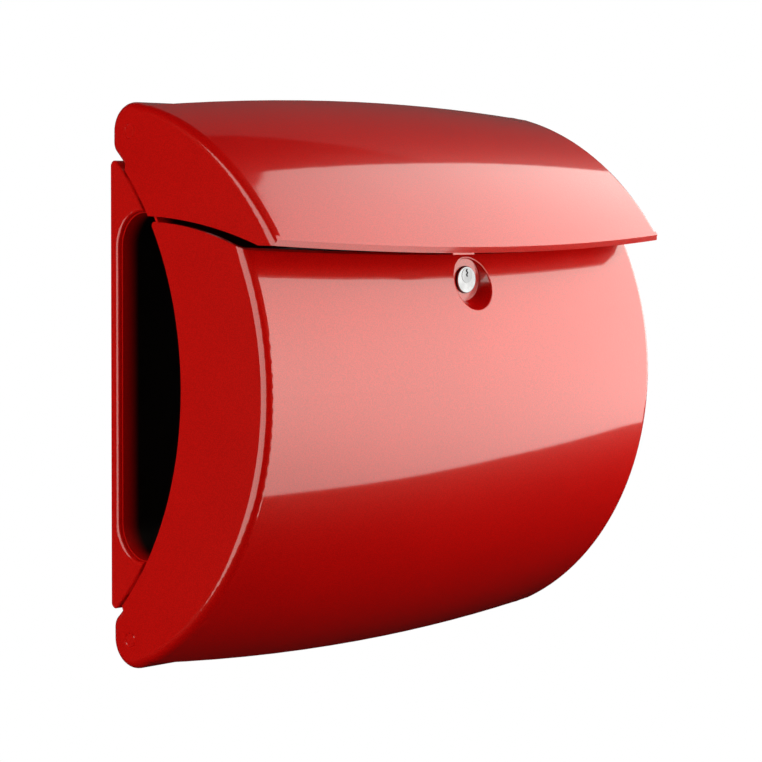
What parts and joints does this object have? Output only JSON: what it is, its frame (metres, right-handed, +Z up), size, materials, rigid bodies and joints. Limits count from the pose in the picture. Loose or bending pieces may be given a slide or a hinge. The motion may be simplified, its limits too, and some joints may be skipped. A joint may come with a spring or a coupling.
{
  "type": "wall mailbox",
  "caption": "Wall mailbox with a domed locking front door, an overhanging top flap and a newspaper tube passing through behind the letter compartment.",
  "frame": {"origin": "middle of the four wall screws, on the wall plane", "axes": "+X to the right seen from the street, +Y into the wall, +Z up"},
  "size_m": [0.41, 0.186, 0.4103],
  "materials": {
    "shell_red": "glossy red with fine pearl grain",
    "housing_red": "glossy red",
    "tube_red": "satin dark red",
    "pin_red": "satin red",
    "frame_black": "fine grained black",
    "zinc_steel": "bright zinc plate",
    "lock_chrome": "polished",
    "lock_nickel": "satin nickel",
    "black_rubber": "matte"
  },
  "bodies": {
    "housing": {"rear_housing": "housing_red", "newspaper_tube": "tube_red", "inlet_frame": "frame_black", "hinge_pin_top_left": "pin_red", "hinge_pin_top_right": "pin_red", "hinge_pin_bottom_left": "pin_red", "hinge_pin_bottom_right": "pin_red", "pin_retainers": "zinc_steel", "tube_screws": "zinc_steel", "frame_screws": "zinc_steel", "strike_plate": "zinc_steel", "strike_screws": "zinc_steel", "door_buffers": "black_rubber"},
    "flap": {"top_flap": "shell_red"},
    "door": {"front_door": "shell_red", "lock_body": "lock_chrome", "lock_nut": "lock_nickel", "lock_gasket": "black_rubber"},
    "lock": {"lock_plug": "lock_nickel", "lock_cam": "zinc_steel", "lock_cam_screw": "zinc_steel"}
  },
  "joints": [
    {"name": "flap_hinge", "type": "hinge", "parent": "housing", "child": "flap", "pos_m": [0, -0.021, 0.1795], "axis": [-1, 0, 0], "range_deg": [0, 70]},
    {"name": "door_hinge", "type": "hinge", "parent": "housing", "child": "door", "pos_m": [0, -0.021, -0.1795], "axis": [1, 0, 0], "range_deg": [0, 75]},
    {"name": "lock_turn", "type": "hinge", "parent": "door", "child": "lock", "pos_m": [0, -0.15, 0.0766], "axis": [0, -1, 0], "range_deg": [0, 90]}
  ]
}
